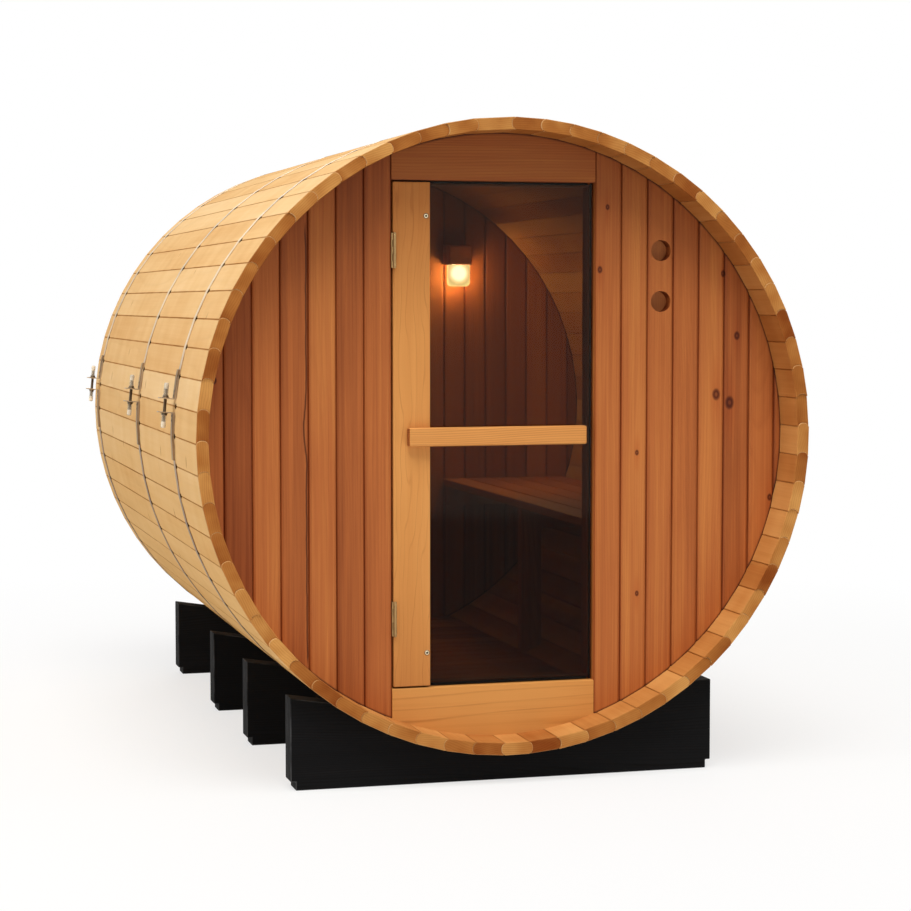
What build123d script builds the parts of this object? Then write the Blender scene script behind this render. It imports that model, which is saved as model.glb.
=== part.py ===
"""Barrel sauna: a lying barrel of staves on four cradles, with a glazed door in its front wall.

Millimetres, +Z up, +Y from the front rim into the barrel. The origin is on the ground, below
the barrel's axis, in the middle of the front cradle.
"""
import math
import os

from build123d import *

os.makedirs("parts", exist_ok=True)

# Barrel
barrel_radius = 915
barrel_length = 2440
stave_count = 65
staves_per_segment = 5
key_stave_share = 1.375
bottom_stave = 32
bottom_stave_share = 0.87
first_joint_angle = 89.75
stave_thickness = 36
stave_vee = 3
croze_depth = 10

# End walls, each let into a croze groove round the inside of the staves
wall_thickness = 38
front_recess = 130
back_recess = 332

# Doorway: its middle is a little left of the axis, and a sill and a header fill the barrel's curve
doorway_middle = -20
doorway_width = 616
sill_height = 150
header_height = 140

# Door frame behind the front wall; its lip is the stop the door closes towards
frame_lip = 12
frame_face = 45
frame_depth = 45

# Door leaf: one upright stile on the hinge side, a sheet of glass let into it, and a handle bar
door_gap = 5
door_set_back = 1
stile_width = 110
stile_thickness = 32
glass_thickness = 8
glass_set_back = 18
glass_slot_depth = 14
handle_length = 538
handle_height = 54
handle_thickness = 30
handle_inset = 40
handle_round = 6
handle_rise = 726
spacer_radius = 11
spacer_inset = 30

# Hinges: the pin stands in front of the leaf's hinge edge, one plate to each side of the gap
hinge_length = 100
hinge_from_bottom = 199
hinge_from_top = 196
hinge_leaf_depth = 26
hinge_leaf_thickness = 2
knuckle_radius = 4.5
knuckle_stand_off = 0.5
knuckle_inset = 3.5
knuckle_count = 5
knuckle_gap = 0.4
pin_radius = 2.5
pin_clearance = 0.1

# Vents through the front wall, one over the other, and the board that covers them inside
vent_radius = 31
vent_from_doorway = 204
vent_drop = 197
vent_spacing = 150
vent_cover_margin = 20
vent_cover_thickness = 12

# Floor of crosswise boards on two lengthwise joists
floor_rise = 83
floor_board_width = 90
floor_board_gap = 5
floor_thickness = 28
joist_width = 45
joist_spacing = 440

# Bench along the right side: lengthwise slats on two ledgers and a trestle
bench_height = 523
bench_wall_gap = 8
bench_slat_count = 5
bench_slat_width = 88
bench_slat_gap = 8
bench_slat_thickness = 28
bench_end_gap = 5
bearer_height = 70
bearer_thickness = 38
bearer_inset = 14
bench_leg_width = 70

# Lamp on the back wall, over the bench's aisle edge
lamp_offset = 45
lamp_rise = 722
lamp_glass_height = 80
lamp_glass_width = 80
lamp_glass_depth = 64
lamp_glass_corner = 18
lamp_glass_round = 16
lamp_hood_width = 88
lamp_hood_height = 72
lamp_hood_depth = 94
lamp_glass_inset = 2
lamp_hood_round = 8

# Cradles: boards cut to the barrel's curve, each on a foot strip
cradle_1_setback = 78
cradle_2_setback = 775
cradle_3_setback = 1410
cradle_4_inset = 146
cradle_thickness = 76
cradle_height = 242
cradle_shoulder = 91
cradle_web = 60
foot_height = 25
foot_inset = 15

# Steel bands, each closed by a tensioner on the left side
front_band_setback = 425
middle_band_setback = 1200
rear_band_inset = 129
band_width = 30
band_thickness = 1.2
tensioner_corner = 15
flange_gap = 38
flange_thickness = 3
flange_height = 48
strap_length = 68
strap_thickness = 3
rod_radius = 5
rod_length = 124
rod_stand_off = 28
rod_hole_clearance = 0.3
nut_radius = 9
nut_height = 8

# Worked out from the sizes above; heights without "rise" are from the barrel's axis
axis_height = foot_height + cradle_web + barrel_radius
rim_y = -(cradle_1_setback + cradle_thickness / 2)
inner_radius = barrel_radius - stave_thickness
wall_radius = inner_radius + croze_depth
stave_angle = 360 / (stave_count - 2 + key_stave_share + bottom_stave_share)
front_wall_y = rim_y + front_recess
cabin_front = front_wall_y + wall_thickness
back_wall_y = rim_y + barrel_length - back_recess - wall_thickness
floor_level = floor_rise - inner_radius
bench_level = floor_level + bench_height
doorway_left = doorway_middle - doorway_width / 2
doorway_right = doorway_middle + doorway_width / 2
doorway_bottom = sill_height - inner_radius
doorway_top = inner_radius - header_height
leaf_left = doorway_left + door_gap
leaf_right = doorway_right - door_gap
leaf_bottom = doorway_bottom + door_gap
leaf_top = doorway_top - door_gap
leaf_face_y = front_wall_y + door_set_back
glass_y = leaf_face_y + glass_set_back


def across(y):
    """Plane across the barrel at y, centred on its axis: x to the right and z up."""
    return Plane(origin=(0, y, axis_height), x_dir=(1, 0, 0), z_dir=(0, -1, 0))


def level(z):
    """Horizontal plane at height z from the barrel's axis."""
    return Plane.XY.offset(axis_height + z)


def corner_angle(corner):
    """Angle of a corner of the stave ring, anticlockwise from the right; the key stave follows corner 0."""
    regular_staves = corner
    if corner > 0:
        regular_staves += key_stave_share - 1
    if corner > bottom_stave:
        regular_staves += bottom_stave_share - 1
    return math.radians(first_joint_angle + regular_staves * stave_angle)


def on_ring(radius, corner):
    """Point at a corner of the stave ring."""
    angle = corner_angle(corner)
    return (radius * math.cos(angle), radius * math.sin(angle))


def stave_ring(radius, mode=Mode.ADD):
    """Everything inside the stave ring's corners at a radius, in the sketch being drawn."""
    Polygon(*[on_ring(radius, corner) for corner in range(stave_count)], align=None, mode=mode)


def on_stave_face(corner, toward):
    """Point on a stave's outer face, one vee's depth from a corner, towards the next corner."""
    start = on_ring(barrel_radius, corner)
    end = on_ring(barrel_radius, corner + toward)
    share = stave_vee / math.dist(start, end)
    return (start[0] + (end[0] - start[0]) * share, start[1] + (end[1] - start[1]) * share)


def block(left, right, bottom, top):
    """Rectangle between its four sides, in the sketch being drawn."""
    with Locations(((left + right) / 2, (bottom + top) / 2)):
        Rectangle(right - left, top - bottom)


def clip(left, right, bottom, top):
    """Keep only what lies between four sides of the sketch being drawn."""
    with Locations(((left + right) / 2, (bottom + top) / 2)):
        Rectangle(right - left, top - bottom, mode=Mode.INTERSECT)


def save(piece, name):
    """Label a finished piece and write it as its own STEP file."""
    piece.part.label = name
    export_step(piece.part, f"parts/{name}.step")


# Barrel: segments of staves with a vee at each outer joint, and a croze for each end wall
for segment in range(stave_count // staves_per_segment):
    first = segment * staves_per_segment
    last = first + staves_per_segment
    outline = [on_ring(inner_radius, corner) for corner in range(last, first - 1, -1)]
    for stave in range(first, last):
        outline.append(on_ring(barrel_radius - stave_vee, stave))
        outline.append(on_stave_face(stave, 1))
        outline.append(on_stave_face(stave + 1, -1))
    outline.append(on_ring(barrel_radius - stave_vee, last))
    with BuildPart() as barrel_segment:
        with BuildSketch(across(rim_y)):
            with BuildLine():
                Polyline(*outline, close=True)
            make_face()
        extrude(amount=-barrel_length)
        for wall_y in (front_wall_y, back_wall_y):
            with BuildSketch(across(wall_y)):
                stave_ring(wall_radius)
            extrude(amount=-wall_thickness, mode=Mode.SUBTRACT)
    save(barrel_segment, f"barrel_wall_{segment + 1:02d}")

# Front wall: boards left and right of the doorway, a header over it and a sill panel under it
with BuildPart() as front_wall_left:
    with BuildSketch(across(front_wall_y)):
        stave_ring(wall_radius)
        clip(-wall_radius, doorway_left, -wall_radius, wall_radius)
    extrude(amount=-wall_thickness)
save(front_wall_left, "front_wall_left")

vent_x = doorway_right + vent_from_doorway
vent_top = doorway_top - vent_drop
vent_bottom = vent_top - vent_spacing
with BuildPart() as front_wall_right:
    with BuildSketch(across(front_wall_y)):
        stave_ring(wall_radius)
        clip(doorway_right, wall_radius, -wall_radius, wall_radius)
        with Locations((vent_x, vent_top), (vent_x, vent_bottom)):
            Circle(vent_radius, mode=Mode.SUBTRACT)
    extrude(amount=-wall_thickness)
save(front_wall_right, "front_wall_right")

with BuildPart() as door_header:
    with BuildSketch(across(front_wall_y)):
        stave_ring(wall_radius)
        clip(doorway_left, doorway_right, doorway_top, wall_radius)
    extrude(amount=-wall_thickness)
save(door_header, "door_header")

with BuildPart() as door_sill:
    with BuildSketch(across(front_wall_y)):
        stave_ring(wall_radius)
        clip(doorway_left, doorway_right, -wall_radius, doorway_bottom)
    extrude(amount=-wall_thickness)
save(door_sill, "door_sill")

with BuildPart() as back_wall:
    with BuildSketch(across(back_wall_y)):
        stave_ring(wall_radius)
    extrude(amount=-wall_thickness)
save(back_wall, "back_wall")

# Door frame: four timbers behind the front wall, standing on the floor
frame_left = doorway_left + frame_lip
frame_right = doorway_right - frame_lip
frame_low = doorway_bottom + frame_lip
frame_high = doorway_top - frame_lip
with BuildPart() as door_frame:
    with BuildSketch(across(cabin_front)):
        block(frame_left - frame_face, frame_right + frame_face, floor_level, frame_high + frame_face)
        with Locations(((frame_left + frame_right) / 2, (frame_low + frame_high) / 2)):
            Rectangle(frame_right - frame_left, frame_high - frame_low, mode=Mode.SUBTRACT)
        stave_ring(inner_radius, mode=Mode.INTERSECT)
    extrude(amount=-frame_depth)
save(door_frame, "door_frame")

# Door leaf
stile_right = leaf_left + stile_width
glass_left = stile_right - glass_slot_depth
with BuildPart() as door_stile:
    with BuildSketch(across(leaf_face_y)):
        block(leaf_left, stile_right, leaf_bottom, leaf_top)
    extrude(amount=-stile_thickness)
    with BuildSketch(across(glass_y)):
        block(glass_left, stile_right, leaf_bottom, leaf_top)
    extrude(amount=-glass_thickness, mode=Mode.SUBTRACT)
save(door_stile, "door_stile")

with BuildPart() as door_glass:
    with BuildSketch(across(glass_y)):
        block(glass_left, leaf_right, leaf_bottom, leaf_top)
    extrude(amount=-glass_thickness)
save(door_glass, "door_glass")

# Handle: a bar screwed to the stile's face, with a round spacer to the glass near its free end
handle_left = leaf_left + handle_inset
handle_right = handle_left + handle_length
handle_middle = leaf_bottom + handle_rise
handle_bottom = handle_middle - handle_height / 2
handle_top = handle_middle + handle_height / 2
with BuildPart() as door_handle:
    with BuildSketch(across(leaf_face_y - handle_thickness)):
        block(handle_left, handle_right, handle_bottom, handle_top)
    extrude(amount=-handle_thickness)
    fillet(door_handle.edges(), handle_round)
    with BuildSketch(across(leaf_face_y)):
        with Locations((handle_right - spacer_inset, handle_middle)):
            Circle(spacer_radius)
    extrude(amount=-glass_set_back)
save(door_handle, "door_handle")

# Hinges: plates in the gap between wall and stile, each bent across to knuckles in front of the
# leaf's edge; the pin is fixed in the wall's knuckles
hinge_x = leaf_left + knuckle_inset
hinge_y = front_wall_y - knuckle_stand_off - knuckle_radius
knuckle_length = hinge_length / knuckle_count
plate_back = front_wall_y + hinge_leaf_depth
hinge_middles = (leaf_bottom + hinge_from_bottom, leaf_top - hinge_from_top)


def knuckle_plate(bottom, height, plate_left, plate_right):
    """One knuckle of a hinge, with the stretch of plate that bends across to it."""
    bend_back = hinge_y + knuckle_radius
    bend_front = bend_back - hinge_leaf_thickness
    with BuildSketch(level(bottom)) as outline:
        with Locations((hinge_x, hinge_y)):
            Circle(knuckle_radius)
        block(plate_left, hinge_x, bend_front, bend_back)
        block(plate_left, plate_right, bend_front, plate_back)
    extrude(outline.sketch, amount=height)


with BuildPart() as hinge_wall_leaves:
    for middle in hinge_middles:
        low = middle - hinge_length / 2
        with BuildSketch(level(low)):
            block(doorway_left, doorway_left + hinge_leaf_thickness, front_wall_y, plate_back)
        extrude(amount=hinge_length)
        for knuckle in range(0, knuckle_count, 2):
            knuckle_plate(
                low + knuckle * knuckle_length + knuckle_gap / 2,
                knuckle_length - knuckle_gap,
                doorway_left,
                doorway_left + hinge_leaf_thickness,
            )
        with BuildSketch(level(low)):
            with Locations((hinge_x, hinge_y)):
                Circle(pin_radius)
        extrude(amount=hinge_length)
save(hinge_wall_leaves, "hinge_wall_leaves")

with BuildPart() as hinge_door_leaves:
    for middle in hinge_middles:
        low = middle - hinge_length / 2
        with BuildSketch(level(low)):
            block(leaf_left - hinge_leaf_thickness, leaf_left, leaf_face_y, plate_back)
        extrude(amount=hinge_length)
        for knuckle in range(1, knuckle_count, 2):
            knuckle_plate(
                low + knuckle * knuckle_length + knuckle_gap / 2,
                knuckle_length - knuckle_gap,
                leaf_left - hinge_leaf_thickness,
                leaf_left,
            )
        with BuildSketch(level(low)):
            with Locations((hinge_x, hinge_y)):
                Circle(pin_radius + pin_clearance)
        extrude(amount=hinge_length, mode=Mode.SUBTRACT)
save(hinge_door_leaves, "hinge_door_leaves")

# Vent cover: a board over both vent holes on the inside
with BuildPart() as vent_cover:
    cover_reach = vent_radius + vent_cover_margin
    with BuildSketch(across(cabin_front)):
        block(
            vent_x - cover_reach,
            vent_x + cover_reach,
            vent_bottom - cover_reach,
            vent_top + cover_reach,
        )
    extrude(amount=-vent_cover_thickness)
save(vent_cover, "vent_cover")

# Floor boards, their ends cut to the staves
cabin_length = back_wall_y - cabin_front
floor_board_count = int((cabin_length + floor_board_gap) // (floor_board_width + floor_board_gap))
floor_board_pitch = (cabin_length + floor_board_gap) / floor_board_count
with BuildPart() as floor_boards:
    for board in range(floor_board_count):
        with BuildSketch(across(cabin_front + board * floor_board_pitch)):
            stave_ring(inner_radius)
            clip(-inner_radius, inner_radius, floor_level - floor_thickness, floor_level)
        extrude(amount=floor_board_gap - floor_board_pitch)
save(floor_boards, "floor_boards")

with BuildPart() as floor_joists:
    for side in (-1, 1):
        with BuildSketch(across(cabin_front)):
            stave_ring(inner_radius)
            clip(
                side * joist_spacing / 2 - joist_width / 2,
                side * joist_spacing / 2 + joist_width / 2,
                -inner_radius,
                floor_level - floor_thickness,
            )
        extrude(amount=-cabin_length)
save(floor_joists, "floor_joists")

# Bench slats
slat_pitch = bench_slat_width + bench_slat_gap
bench_underside = bench_level - bench_slat_thickness
bench_wall_edge = math.sqrt(inner_radius**2 - bench_underside**2) - bench_wall_gap
bench_aisle_edge = bench_wall_edge + bench_slat_gap - bench_slat_count * slat_pitch
with BuildPart() as bench_slats:
    for slat in range(bench_slat_count):
        slat_left = bench_aisle_edge + slat * slat_pitch
        with BuildSketch(across(cabin_front + bench_end_gap)):
            block(slat_left, slat_left + bench_slat_width, bench_underside, bench_level)
        extrude(amount=2 * bench_end_gap - cabin_length)
save(bench_slats, "bench_slats")

# Bench supports: a ledger on each end wall, and a trestle with one leg in the middle
bearer_left = bench_aisle_edge + bearer_inset
bearer_bottom = bench_underside - bearer_height
trestle_y = (cabin_front + back_wall_y - bearer_thickness) / 2
with BuildPart() as bench_supports:
    for bearer_y in (cabin_front, trestle_y, back_wall_y - bearer_thickness):
        with BuildSketch(across(bearer_y)):
            stave_ring(inner_radius)
            clip(bearer_left, inner_radius, bearer_bottom, bench_underside)
        extrude(amount=-bearer_thickness)
    with BuildSketch(across(trestle_y)):
        stave_ring(inner_radius)
        clip(bearer_left, bearer_left + bench_leg_width, floor_level, bearer_bottom)
    extrude(amount=-bearer_thickness)
save(bench_supports, "bench_supports")

# Wall lamp: a hood with a frosted glass bowl hung below its front edge
lamp_x = bench_aisle_edge + lamp_offset
lamp_glass_bottom = bench_level + lamp_rise
lamp_glass_top = lamp_glass_bottom + lamp_glass_height
with BuildPart() as lamp_hood:
    with BuildSketch(across(back_wall_y)):
        block(
            lamp_x - lamp_hood_width / 2,
            lamp_x + lamp_hood_width / 2,
            lamp_glass_top,
            lamp_glass_top + lamp_hood_height,
        )
    extrude(amount=lamp_hood_depth)
    fillet(lamp_hood.faces().sort_by(Axis.Y)[0].edges(), lamp_hood_round)
save(lamp_hood, "lamp_hood")

with BuildPart() as lamp_glass:
    with BuildSketch(across(back_wall_y - lamp_hood_depth + lamp_glass_inset)):
        block(
            lamp_x - lamp_glass_width / 2,
            lamp_x + lamp_glass_width / 2,
            lamp_glass_bottom,
            lamp_glass_top,
        )
    extrude(amount=-lamp_glass_depth)
    fillet(lamp_glass.edges().filter_by(Axis.Z), lamp_glass_corner)
    fillet(lamp_glass.faces().sort_by(Axis.Z)[0].edges(), lamp_glass_round)
save(lamp_glass, "lamp_glass")

# Cradles
board_bottom = foot_height - axis_height
board_top = board_bottom + cradle_height
cradle_half_width = math.sqrt(barrel_radius**2 - board_top**2) + cradle_shoulder
cradle_setbacks = (
    cradle_1_setback,
    cradle_2_setback,
    cradle_3_setback,
    barrel_length - cradle_4_inset - cradle_thickness,
)
for number, setback in enumerate(cradle_setbacks, start=1):
    with BuildPart() as cradle:
        with BuildSketch(across(rim_y + setback)):
            block(-cradle_half_width, cradle_half_width, board_bottom, board_top)
            stave_ring(barrel_radius, mode=Mode.SUBTRACT)
        extrude(amount=-cradle_thickness)
        with BuildSketch(across(rim_y + setback + foot_inset)):
            foot_half_width = cradle_half_width - foot_inset
            block(-foot_half_width, foot_half_width, -axis_height, board_bottom)
        extrude(amount=2 * foot_inset - cradle_thickness)
    save(cradle, f"cradle_{number}")

# Bands and tensioners. Across the tensioner, u runs up along the barrel and v away from it.
tensioner_angle = corner_angle(tensioner_corner)
outward = Vector(math.cos(tensioner_angle), 0, math.sin(tensioner_angle))
upward = Vector(math.sin(tensioner_angle), 0, -math.cos(tensioner_angle))
flat_slope = stave_angle / 2


def at_tensioner(y, u=0, v=0):
    """Plane across the barrel at y with its origin at the tensioner's corner: u, v as x, y."""
    corner = Vector(0, y, axis_height) + outward * barrel_radius
    return Plane(origin=corner + upward * u + outward * v, x_dir=upward, z_dir=upward.cross(outward))


def along_rod(y, u):
    """Plane square to the tensioner's rod, u along it from its middle."""
    return Plane(
        origin=Vector(0, y, axis_height) + outward * (barrel_radius + rod_stand_off) + upward * u,
        x_dir=(0, 1, 0),
        z_dir=upward,
    )


band_setbacks = {
    "front": front_band_setback,
    "middle": middle_band_setback,
    "rear": barrel_length - rear_band_inset,
}
flange_inner = flange_gap / 2
flange_outer = flange_inner + flange_thickness
for place, setback in band_setbacks.items():
    band_middle = rim_y + setback
    with BuildPart() as band:
        with BuildSketch(across(band_middle - band_width / 2)):
            stave_ring(barrel_radius + band_thickness)
            stave_ring(barrel_radius, mode=Mode.SUBTRACT)
        extrude(amount=-band_width)
        with BuildSketch(at_tensioner(band_middle)):
            Rectangle(flange_gap, 2 * flange_height)
        extrude(amount=band_width, both=True, mode=Mode.SUBTRACT)
        for side in (-1, 1):
            slope = math.tan(math.radians(flat_slope))
            strap_end = flange_inner + strap_length
            strap_base = [(side * u, -u * slope) for u in (flange_inner, strap_end)]
            with BuildSketch(at_tensioner(band_middle)):
                with BuildLine():
                    Polyline(
                        strap_base[0],
                        strap_base[1],
                        (strap_base[1][0], strap_base[1][1] + band_thickness + strap_thickness),
                        (strap_base[0][0], strap_base[0][1] + band_thickness + strap_thickness),
                        close=True,
                    )
                make_face()
                with Locations((side * (flange_inner + flange_outer) / 2, flange_height / 2)):
                    Rectangle(flange_thickness, flange_height)
            extrude(amount=band_width / 2, both=True)
        with BuildSketch(along_rod(band_middle, 0)):
            Circle(rod_radius + rod_hole_clearance)
        extrude(amount=rod_length / 2, both=True, mode=Mode.SUBTRACT)
    save(band, f"band_{place}")

    with BuildPart() as tensioner:
        with BuildSketch(along_rod(band_middle, 0)):
            Circle(rod_radius)
        extrude(amount=rod_length / 2, both=True)
        for start in (flange_outer, -flange_outer - nut_height):
            with BuildSketch(along_rod(band_middle, start)):
                RegularPolygon(nut_radius, 6)
            extrude(amount=nut_height)
    save(tensioner, f"tensioner_{place}")
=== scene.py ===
"""Looks of a barrel sauna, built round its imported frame: metres, +Z up, +Y into the barrel."""
import math
import random

import bmesh
import bpy
from mathutils import Matrix, Vector


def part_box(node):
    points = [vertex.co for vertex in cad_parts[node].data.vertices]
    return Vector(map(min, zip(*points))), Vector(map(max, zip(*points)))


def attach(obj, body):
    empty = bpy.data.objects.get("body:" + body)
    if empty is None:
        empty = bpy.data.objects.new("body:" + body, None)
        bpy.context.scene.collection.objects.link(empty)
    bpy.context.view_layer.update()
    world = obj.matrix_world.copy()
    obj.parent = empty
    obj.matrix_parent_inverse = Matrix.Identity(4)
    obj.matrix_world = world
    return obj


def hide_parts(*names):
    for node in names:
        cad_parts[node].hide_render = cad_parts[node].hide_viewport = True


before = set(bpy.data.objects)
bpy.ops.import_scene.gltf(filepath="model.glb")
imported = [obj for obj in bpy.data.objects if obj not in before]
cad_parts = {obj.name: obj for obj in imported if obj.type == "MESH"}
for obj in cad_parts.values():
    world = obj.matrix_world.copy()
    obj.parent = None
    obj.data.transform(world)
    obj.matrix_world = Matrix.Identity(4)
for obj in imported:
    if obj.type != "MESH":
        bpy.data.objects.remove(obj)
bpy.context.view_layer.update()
chance = random.Random(7)

# Barrel: a ring of bead-and-cove staves round an axis that lies along Y
AXIS_HEIGHT = 1.0
BARREL_RADIUS = 0.915
STAVE_THICKNESS = 0.036
INNER_RADIUS = BARREL_RADIUS - STAVE_THICKNESS
STAVE_COUNT = 65
STAVES_PER_SEGMENT = 5
KEY_STAVE_SHARE = 1.375
BOTTOM_STAVE = 32
BOTTOM_STAVE_SHARE = 0.87
FIRST_JOINT_ANGLE = 89.75
STAVE_ANGLE = 360 / (STAVE_COUNT - 2 + KEY_STAVE_SHARE + BOTTOM_STAVE_SHARE)
STAVE_FLAT_SLOPE = math.radians(STAVE_ANGLE / 2)
STAVE_VEE = 0.0018
STAVE_EDGE = 0.0014
LARGEST_SETBACK = 0.005
JOINT_GAPS = (0.0002, 0.0003, 0.0004, 0.0008)
BEAD_DEPTH = 0.010
BEAD_STEPS = 8

# Tones of the staves, and the staves that stand out in the ring, numbered from the key stave
STAVE_TONES = (0.30, 0.72)
PALE_STAVES, PALE_TONE = (6, 21, 41, 48), 0.70
DARK_STAVES, DARK_TONE = (8, 24, 35, 40, 47, 51), 0.38

# End walls: upright boards with wide, soft vees between them. Half a vee's curve runs through
# shares of its width from the board's side and of its depth
BOARD_PITCH = 0.0812
BOARD_VEE = 0.0075
BOARD_VEE_DEPTH = 0.0045
BOARD_VEE_CURVE = ((1.0, 0.0), (0.35, 0.3), (0.0, 1.0))
BOARD_GAP = 0.0006
MATCHBOARD_EDGE = 0.0005
BACK_BOARD_JOINT = 0.351
WALL_CLIP_RADIUS = INNER_RADIUS + 0.001

# Header and sill: how far they run on behind the boards, and their eased edge
CROSS_OVERRUN = 0.02
CROSS_EDGE = 0.0015

# Front boards from the doorway outwards: their tones, the left ones set a little lower as painted
# shade on that side, and those with arches down their face
FRONT_TONES = {
    "left": (0.42, 0.34, 0.60, 0.32, 0.57, 0.17, 0.48),
    "right": (0.56, 0.60, 0.48, 0.46, 0.60, 0.34, 0.50, 0.34),
}
ARCHED_BOARDS = {"left": (2, 5), "right": (6,)}
HEADER_TONE, SILL_TONE, STILE_TONE = 0.62, 0.95, 0.5

# Between which tones the other boards are drawn
BACK_TONES = (0.2, 0.75)
FLOOR_TONES = (0.3, 0.7)
SLAT_TONES = (0.4, 0.8)
CRADLE_TONES = (0.3, 0.7)

# Eased edges of the other planed boards, of the bench's slats and of the cradles
EASED_EDGE = 0.0025
SLAT_EDGE = 0.004
CRADLE_EDGE = 0.003

# Vents bored through a board right of the door: x, z and radius
VENTS = ((0.492, 1.392, 0.031), (0.492, 1.542, 0.031))

# Door: the hinges' length, their pins' offset from the stile's side and the leaves' front, how far
# the small screws sit from a hinge's ends, and the stile's screws by x and z
HINGE_LENGTH = 0.100
PIN_OFFSET = (0.0035, 0.0045)
PIN_SCREW_INSET = 0.008
STILE_SCREWS = ((-0.225, 1.637), (-0.223, 0.373))

# Rubber seal on the door frame, black also as painted shade in the gap round the door: the width of
# each strip, and how far its middle is in from that side of the opening
SEAL_THICKNESS = 0.006
SEAL_EDGE = 0.0015
SEAL_GAP = 0.0005
SEAL_RIGHT = (0.006, 0.0032)
SEAL_BOTTOM = (0.008, 0.0042)
SEAL_TOP = (0.007, 0.0037)
SEAL_SHORTER = 0.026
SEAL_PLAY = 0.0004

# Inside
FLOOR_BOARD = 0.090
FLOOR_GAP = 0.005
FLOOR_OVERRUN = 0.05
SLAT_COUNT = 5
SLAT_GAP = 0.008

# Cradles: two boards each, with their lower corners cut back and a hollow for the barrel
CRADLE_COUNT = 4
FOOT_HEIGHT = 0.025
FOOT_INSET = 0.015
CRADLE_SEAT = BARREL_RADIUS - 0.0005
CRADLE_GAP = 0.0003
HOLLOW_MARGIN = 0.001
CRADLE_CREASE = math.radians(60)

# Bands, and tensioners: a threaded rod with nuts outside the flanges of each band's ends
BANDS = ("front", "middle", "rear")
TENSIONER_CORNER = 15
ROD_HALF_LENGTH = 0.062
THREAD_PITCH = 0.0015
THREAD_RADII = (0.0043, 0.0050)
NUT_START = 0.022
NUT_HEIGHT = 0.008

# Riveted plates on the bands' ends: their lengths upwards and downwards, where they begin and end
# outside the staves, and how far their rivets are from the tensioner
STRAP_PLATES = {1: 0.108, -1: 0.160}
STRAP_FOOT = 0.0012
STRAP_TOP = 0.0064
STRAP_HALF_WIDTH = 0.0135
RIVETS = (0.030, 0.043)

# Profiles of turned pieces, as (radius, height)
STILE_WASHER = ((0.0062, -0.001), (0.0062, 0.0006), (0.0054, 0.0012), (0.0032, 0.0010))
# Black ring round a stile washer, and black socket: painted shade in the countersink and the socket
STILE_SHADOW_RIM = ((0.0078, -0.001), (0.0078, 0.0003), (0.0070, 0.0004))
STILE_SOCKET = ((0.0033, -0.001), (0.0033, 0.0013), (0.0022, 0.0014))
PIN_HEAD = ((0.0030, -0.0005), (0.0030, 0.0006), (0.0020, 0.0016))
PIN_SCREW = ((0.0036, -0.002), (0.0036, 0.0004), (0.0026, 0.0010), (0.0012, 0.0006))
NUT = ((0.0078, 0.0021), (0.0092, 0.0033), (0.0092, NUT_HEIGHT - 0.0012), (0.0078, NUT_HEIGHT))
NUT_WASHER = ((0.0110, 0), (0.0112, 0.0003), (0.0112, 0.0017), (0.0110, 0.0020))
ROD_CAP = ((0.0072, 0), (0.0076, 0.030), (0.0070, 0.0345), (0.0045, 0.0365))
CAP_PLUG = ((0.0060, 0.018), (0.0068, 0.021), (0.0068, 0.033), (0.0040, 0.0358))
RIVET = ((0.0042, -0.001), (0.0042, 0.0004), (0.0032, 0.0014), (0.0012, 0.0019))

# Solids: up to which angle an edge is smooth, and what counts as touching a cutting plane
SMOOTH_ANGLE = math.radians(32)
TOUCHING = 1e-5
DRILL_LENGTH = 0.3

X_AXIS = Vector((1, 0, 0))
Y_AXIS = Vector((0, 1, 0))
Z_AXIS = Vector((0, 0, 1))


# Places and sizes

def box(node):
    """Lowest and highest corners of a frame node, as vectors."""
    low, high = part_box(node)
    return Vector(low), Vector(high)


def middle_and_size(node):
    """Middle of a frame node's box, and its size."""
    low, high = box(node)
    return (low + high) / 2, high - low


def corner_angle(corner):
    """Angle of a joint of the ring, anticlockwise from the right; the key stave follows corner 0."""
    regular_staves = corner
    if corner > 0:
        regular_staves += KEY_STAVE_SHARE - 1
    if corner > BOTTOM_STAVE:
        regular_staves += BOTTOM_STAVE_SHARE - 1
    return math.radians(FIRST_JOINT_ANGLE + regular_staves * STAVE_ANGLE)


def radial(angle):
    """Direction away from the barrel's axis at an angle."""
    return Vector((math.cos(angle), 0, math.sin(angle)))


def on_ring(angle, radius=BARREL_RADIUS, y=0):
    """Point at a radius from the barrel's axis."""
    return Vector((0, y, AXIS_HEIGHT)) + radial(angle) * radius


def place(origin, along, out):
    """Board place: X along the grain, Z out of its face."""
    across = out.cross(along)
    return Matrix.Translation(origin) @ Matrix((along, across, out)).transposed().to_4x4()


def upright(*origin):
    """Place of a board that stands with its face to the front."""
    return place(Vector(origin), Z_AXIS, -Y_AXIS)


def level(*origin):
    """Place of a board that lies from side to side with its face to the front."""
    return place(Vector(origin), X_AXIS, -Y_AXIS)


def facing(*origin):
    """Place of a round solid that points to the front."""
    return Matrix.Translation(origin) @ Matrix.Rotation(math.pi / 2, 4, "X")


# Solids, each made as a bmesh in the row frame

def skinned(rings, place_of_solid=None, ends=None):
    """Solid through rings of points; its ends are one face each, or faces of the named corners."""
    solid = bmesh.new()
    rings = [[solid.verts.new(point) for point in ring] for ring in rings]
    count = len(rings[0])
    for near, far in zip(rings, rings[1:]):
        for corner in range(count):
            after = (corner + 1) % count
            solid.faces.new((near[corner], near[after], far[after], far[corner]))
    for ring in (rings[0], rings[-1]):
        for corners in ends or (range(count),):
            solid.faces.new([ring[corner] for corner in corners])
    if place_of_solid:
        solid.transform(place_of_solid)
    bmesh.ops.recalc_face_normals(solid, faces=solid.faces)
    return solid


def eased_edges(solid, edges, width):
    """The solid with some of its edges rounded."""
    bmesh.ops.bevel(solid, geom=edges, offset=width, segments=2, affect="EDGES", profile=0.5)
    return solid


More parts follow.
